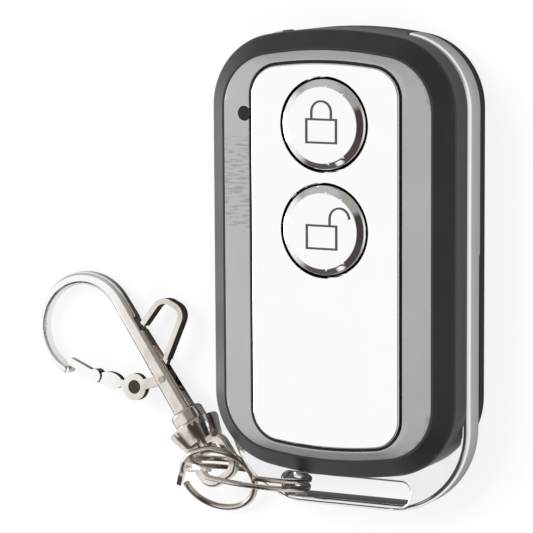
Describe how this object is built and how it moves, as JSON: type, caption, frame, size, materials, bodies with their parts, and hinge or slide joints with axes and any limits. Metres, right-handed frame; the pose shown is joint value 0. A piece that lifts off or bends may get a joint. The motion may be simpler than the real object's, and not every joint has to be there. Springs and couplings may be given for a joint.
{
  "type": "wireless remote control",
  "caption": "Small handheld remote with round press buttons on a polished panel, a metal frame with a ring loop, split ring, key ring and a swivel clasp.",
  "frame": {"origin": "middle of the flat back face of the remote's body, on the surface it lies on", "axes": "+Z out of the face with the buttons, +Y towards the end away from the ring loop, +X to the right as the buttons are seen"},
  "size_m": [0.0659, 0.0659, 0.0171],
  "materials": {
    "charcoal_plastic": "satin",
    "black_plastic": "matte",
    "chrome": "polished",
    "silver_paint": "satin",
    "mirror_plate": "mirror polished",
    "board_green": "solder mask",
    "switch_black": "satin",
    "plunger_white": "satin",
    "smoked_lens": "clear smoked",
    "led_red": "clear",
    "ceramic": "fired ceramic",
    "copper_wire": "tinned copper",
    "contact_brass": "nickel plated",
    "battery_sleeve": "plain sleeve",
    "steel": "bright",
    "dark_steel": "blackened",
    "nickel_steel": "nickel plated, lightly worn"
  },
  "bodies": {
    "fob": {"front_housing": "charcoal_plastic", "rear_cover": "black_plastic", "chrome_frame": "chrome", "trim_ring": "silver_paint", "face_plate": "mirror_plate", "circuit_board": "board_green", "lock_switch": "switch_black", "unlock_switch": "switch_black", "led_lens": "smoked_lens", "status_led": "led_red", "encoder_chip": "switch_black", "saw_resonator": "steel", "rf_transistor": "switch_black", "small_parts": "ceramic", "antenna_loop": "copper_wire", "battery": "battery_sleeve", "battery_plus_contact": "contact_brass", "battery_minus_contact": "contact_brass", "rear_screws": "steel", "board_screws": "steel"},
    "lock_button": {"lock_button": "mirror_plate"},
    "unlock_button": {"unlock_button": "mirror_plate"},
    "lock_plunger": {"lock_plunger": "plunger_white"},
    "unlock_plunger": {"unlock_plunger": "plunger_white"},
    "split_ring": {"split_ring": "nickel_steel"},
    "link_ring": {"link_ring": "nickel_steel"},
    "swivel_eye": {"swivel_eye": "nickel_steel"},
    "clasp": {"clasp_hook": "nickel_steel", "gate_pin": "steel", "gate_spring": "steel"},
    "clasp_gate": {"clasp_gate": "nickel_steel", "gate_rivet": "dark_steel"}
  },
  "joints": [
    {"name": "lock_press", "type": "slide", "parent": "fob", "child": "lock_button", "axis": [0, 0, -1], "range_m": [0, 0.00035], "stiffness_N_per_m": 1500},
    {"name": "lock_plunger_slide", "type": "slide", "parent": "fob", "child": "lock_plunger", "axis": [0, 0, -1], "range_m": [0, 0.00035]},
    {"name": "unlock_press", "type": "slide", "parent": "fob", "child": "unlock_button", "axis": [0, 0, -1], "range_m": [0, 0.00035], "stiffness_N_per_m": 1500},
    {"name": "unlock_plunger_slide", "type": "slide", "parent": "fob", "child": "unlock_plunger", "axis": [0, 0, -1], "range_m": [0, 0.00035]},
    {"name": "split_ring_turn", "type": "hinge", "parent": "fob", "child": "split_ring", "pos_m": [-0.0113, -0.0313, 0.0047], "axis": [0.1035, 0.9848, 0.1392], "range_deg": [0, 18]},
    {"name": "eye_swing", "type": "hinge", "parent": "split_ring", "child": "swivel_eye", "pos_m": [-0.0202, -0.0299, 0.0042], "axis": [0.4796, -0.1199, -0.8693], "range_deg": [-10, 15]},
    {"name": "key_ring_lift", "type": "hinge", "parent": "split_ring", "child": "link_ring", "pos_m": [-0.0199, -0.02765, 0.0064], "axis": [-1, 0, 0], "range_deg": [0, 60]},
    {"name": "clasp_swivel", "type": "hinge", "parent": "swivel_eye", "child": "clasp", "pos_m": [-0.0246, -0.024, 0.00365], "axis": [-0.5995, 0.7956, -0.0872], "continuous": true},
    {"name": "gate_turn", "type": "hinge", "parent": "clasp", "child": "clasp_gate", "pos_m": [-0.0282, -0.01923, 0.00313], "axis": [0.0525, -0.0696, -0.9962], "range_deg": [0, 30], "stiffness_Nm_per_rad": 0.01}
  ],
  "couplings": [
    {"joint": "lock_plunger_slide", "follows": "lock_press", "ratio": 1},
    {"joint": "unlock_plunger_slide", "follows": "unlock_press", "ratio": 1}
  ]
}
